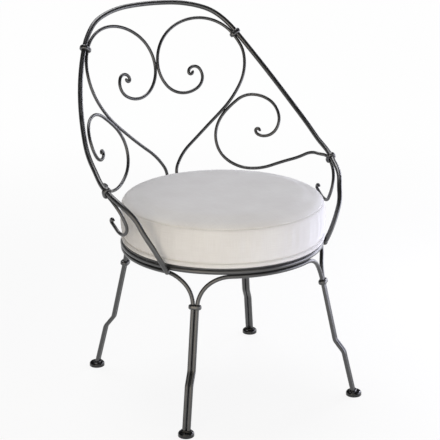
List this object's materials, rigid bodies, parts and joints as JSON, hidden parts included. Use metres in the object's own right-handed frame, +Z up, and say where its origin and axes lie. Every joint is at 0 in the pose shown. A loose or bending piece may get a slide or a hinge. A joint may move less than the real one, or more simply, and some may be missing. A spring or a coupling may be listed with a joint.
{
  "type": "garden armchair",
  "caption": "Garden armchair of bent steel rod: round seat ring on splayed arched legs, hoop back that runs down into the arms, heart and side scrolls, and a loose round boxed cushion.",
  "frame": {"origin": "on the floor under the middle of the whole chair, left to right and front to back", "axes": "+Z up, the sitter faces -Y, +X towards the right-hand arm as seen from the front"},
  "size_m": [0.6452, 0.6384, 0.898],
  "materials": {
    "frame_steel": "satin anthracite powder coat",
    "seat_sheet": "satin anthracite powder coat",
    "foot_plastic": "gloss black",
    "cushion_cover": "off-white woven cotton",
    "cushion_foam": "open-cell foam"
  },
  "bodies": {
    "frame": {"arm_collar_left": "frame_steel", "arm_collar_right": "frame_steel", "arm_hoop": "frame_steel", "foot_front_left": "foot_plastic", "foot_front_right": "foot_plastic", "foot_rear_left": "foot_plastic", "foot_rear_right": "foot_plastic", "heart_scroll_left": "frame_steel", "heart_scroll_right": "frame_steel", "leg_arch_front": "frame_steel", "leg_arch_left": "frame_steel", "leg_arch_rear": "frame_steel", "leg_arch_right": "frame_steel", "leg_collar_front_left": "frame_steel", "leg_collar_front_right": "frame_steel", "leg_collar_rear_left": "frame_steel", "leg_collar_rear_right": "frame_steel", "seat_plate": "seat_sheet", "seat_ring": "frame_steel", "side_scroll_left": "frame_steel", "side_scroll_right": "frame_steel", "upper_collar_left": "frame_steel", "upper_collar_right": "frame_steel"},
    "cushion": {"cushion_bottom_panel": "cushion_cover", "cushion_foam": "cushion_foam", "cushion_side_band": "cushion_cover", "cushion_top_panel": "cushion_cover"}
  },
  "joints": [
    {"name": "cushion_lift", "type": "slide", "parent": "frame", "child": "cushion", "axis": [0, 0, 1], "range_m": [0, 0.52]}
  ]
}
